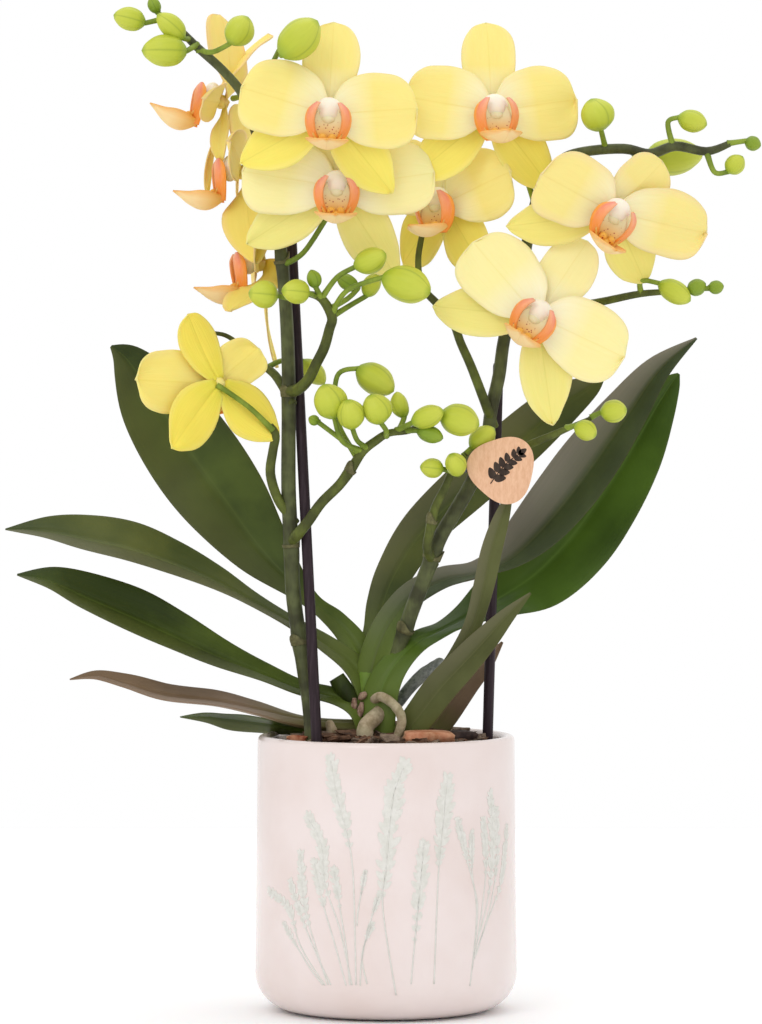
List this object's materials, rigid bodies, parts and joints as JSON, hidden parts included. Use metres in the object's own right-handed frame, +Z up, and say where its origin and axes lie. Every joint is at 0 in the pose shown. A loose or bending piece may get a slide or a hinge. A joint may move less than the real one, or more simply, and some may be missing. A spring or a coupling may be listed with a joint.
{
  "type": "potted moth orchid",
  "caption": "Multi-flowered yellow moth orchid on two staked spikes, with strap leaves and aerial roots, standing in a round glazed pot.",
  "frame": {"origin": "centre of the pot's flat base, on the surface that it stands on", "axes": "+Z up along the pot's axis, -Y towards the side that the flowers face, +X to the viewer's right"},
  "size_m": [0.2941, 0.1196, 0.3951],
  "materials": {
    "pot_glaze": "glossy pinkish white glaze with matte pale sprig relief",
    "growing_pot_plastic": "thin black nursery plastic",
    "clip_plastic": "small dark clip",
    "bark": "dark damp pine bark mix",
    "bark_chips": "loose dry bark chips",
    "stake_plastic": "dark aubergine plastic coating",
    "tag_card": "uncoated kraft card",
    "leaf": "waxy green leaf",
    "crown": "light green clasping leaf bases",
    "flower_stem": "olive green stem with light green buds",
    "aerial_root": "dry silvery root skin",
    "lip": "waxy lip, orange with red specks",
    "tepal": "soft yellow petal"
  },
  "bodies": {
    "root": {"bark_chip_front": "bark_chips", "bark_chip_left": "bark_chips", "bark_chip_right": "bark_chips", "bark_substrate": "bark", "branch_left_high_twig": "flower_stem", "branch_left_low_twig": "flower_stem", "branch_left_lower": "flower_stem", "branch_left_upper": "flower_stem", "branch_right_front": "flower_stem", "branch_right_inner": "flower_stem", "branch_right_outer": "flower_stem", "branch_right_upper": "flower_stem", "ceramic_pot": "pot_glaze", "crown_stem": "crown", "flower_01": "tepal", "flower_01_lip": "lip", "flower_02": "tepal", "flower_02_lip": "lip", "flower_03": "tepal", "flower_03_lip": "lip", "flower_04": "tepal", "flower_04_lip": "lip", "flower_05": "tepal", "flower_05_lip": "lip", "flower_06": "tepal", "flower_06_lip": "lip", "flower_07": "tepal", "flower_07_lip": "lip", "flower_08": "tepal", "flower_08_lip": "lip", "flower_09": "tepal", "flower_09_lip": "lip", "flower_10": "tepal", "flower_10_lip": "lip", "growing_pot": "growing_pot_plastic", "leaf_left_1": "leaf", "leaf_left_2": "leaf", "leaf_left_3": "leaf", "leaf_left_4": "leaf", "leaf_left_5": "leaf", "leaf_right_1": "leaf", "leaf_right_2": "leaf", "leaf_right_3": "leaf", "leaf_right_4": "leaf", "leaf_right_5": "leaf", "leaf_right_6": "leaf", "plant_tag": "tag_card", "root_arched": "aerial_root", "root_silver": "aerial_root", "root_silver_short": "aerial_root", "root_stub": "aerial_root", "root_thick": "aerial_root", "spike_left": "flower_stem", "spike_right": "flower_stem", "stake_left": "stake_plastic", "stake_right": "stake_plastic", "tag_clip": "clip_plastic"}
  },
  "joints": []
}
